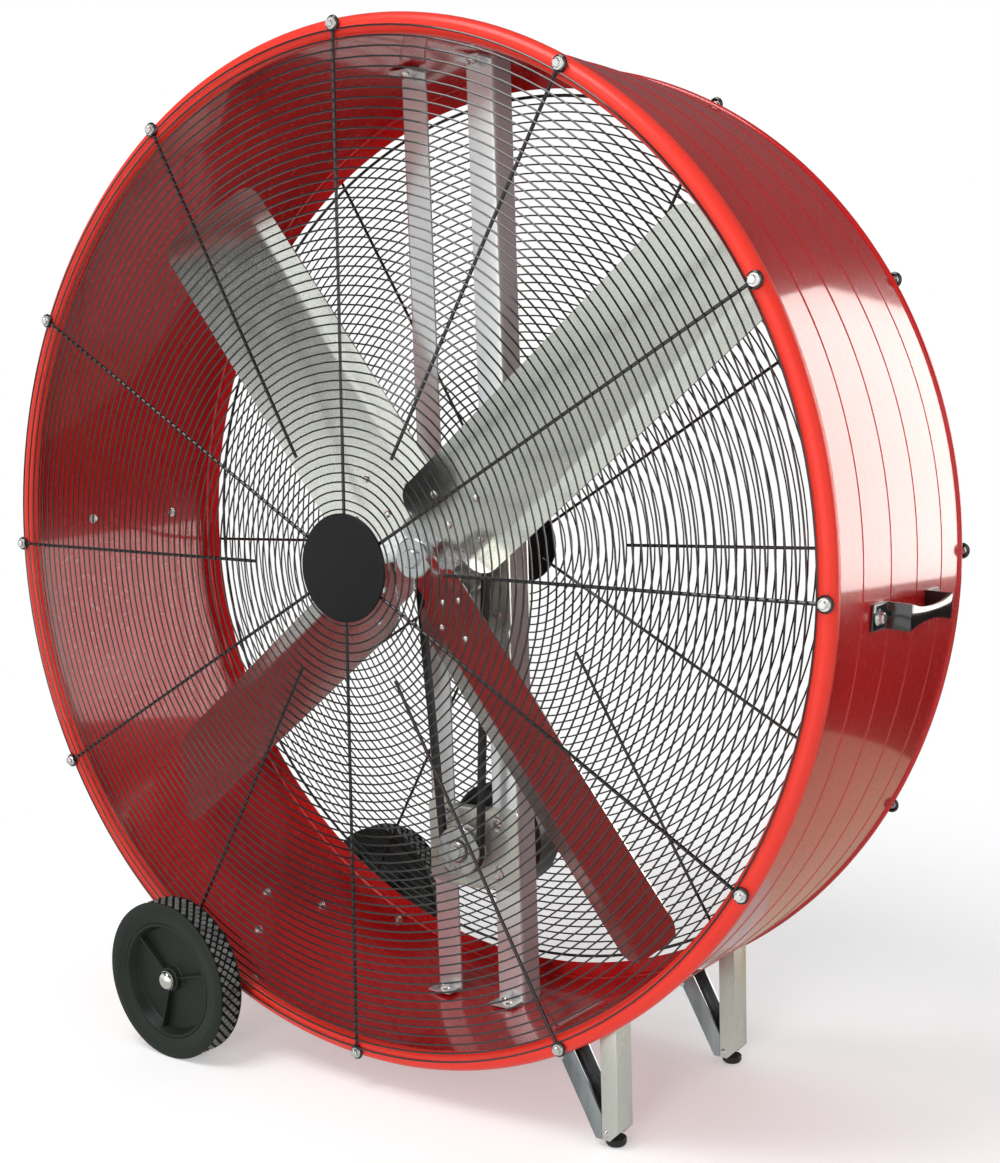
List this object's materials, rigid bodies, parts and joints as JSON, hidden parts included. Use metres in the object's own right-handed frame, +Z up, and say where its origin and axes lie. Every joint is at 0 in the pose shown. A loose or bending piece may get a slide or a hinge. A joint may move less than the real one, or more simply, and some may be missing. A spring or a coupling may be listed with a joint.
{
  "type": "drum fan",
  "caption": "Belt-driven drum fan on two wheels and two legs: red sheet drum, wire guards, sheet-metal blades on a shaft, motor below on the struts.",
  "frame": {"origin": "on the floor, under the middle of the fan's box", "axes": "+Z up, +Y along the shaft from the front guard to the rear guard, +X to the right seen from the front"},
  "size_m": [1.3002, 0.4976, 1.2973],
  "materials": {
    "drum_paint": "glossy, worn",
    "wire": "semi-gloss",
    "cover": "glossy",
    "zinc": "galvanised",
    "blade_sheet": "satin, galvanised",
    "steel": "satin",
    "belt": "matte",
    "motor_paint": "satin",
    "tyre": "matte",
    "wheel_plastic": "satin",
    "chrome": "polished",
    "handle_paint": "glossy",
    "rubber": "matte"
  },
  "bodies": {
    "frame": {"drum": "drum_paint", "strut_left": "zinc", "strut_right": "zinc", "handle_right": "handle_paint", "handle_left": "handle_paint", "front_guard": "wire", "front_disc": "cover", "rear_guard": "wire", "rear_disc": "cover", "front_bearing_plate": "zinc", "rear_bearing_plate": "zinc", "front_bearing": "steel", "rear_bearing": "steel", "motor": "motor_paint", "motor_bracket": "zinc", "belt": "belt", "axle": "steel", "front_axle_nut": "chrome", "rear_axle_nut": "chrome", "front_axle_bracket": "zinc", "rear_axle_bracket": "zinc", "front_leg": "zinc", "rear_leg": "zinc", "front_foot": "rubber", "rear_foot": "rubber"},
    "fan_rotor": {"shaft": "steel", "spider": "steel", "blade_1": "blade_sheet", "blade_2": "blade_sheet", "blade_3": "blade_sheet", "blade_4": "blade_sheet", "fan_pulley": "steel"},
    "motor_rotor": {"motor_shaft": "steel", "motor_pulley": "steel"},
    "front_wheel_body": {"front_tyre": "tyre", "front_wheel": "wheel_plastic"},
    "rear_wheel_body": {"rear_tyre": "tyre", "rear_wheel": "wheel_plastic"}
  },
  "joints": [
    {"name": "fan_spin", "type": "hinge", "parent": "frame", "child": "fan_rotor", "pos_m": [0, 0.025, 0.66907], "axis": [0, 1, 0], "continuous": true},
    {"name": "motor_spin", "type": "hinge", "parent": "frame", "child": "motor_rotor", "pos_m": [0, 0.025, 0.26908], "axis": [0, 1, 0], "continuous": true},
    {"name": "front_wheel_spin", "type": "hinge", "parent": "frame", "child": "front_wheel_body", "pos_m": [-0.3075, -0.2255, 0.1087], "axis": [0, 1, 0], "continuous": true},
    {"name": "rear_wheel_spin", "type": "hinge", "parent": "frame", "child": "rear_wheel_body", "pos_m": [-0.3075, 0.2255, 0.1087], "axis": [0, 1, 0], "continuous": true}
  ],
  "couplings": [
    {"joint": "motor_spin", "follows": "fan_spin", "ratio": 1.9}
  ]
}
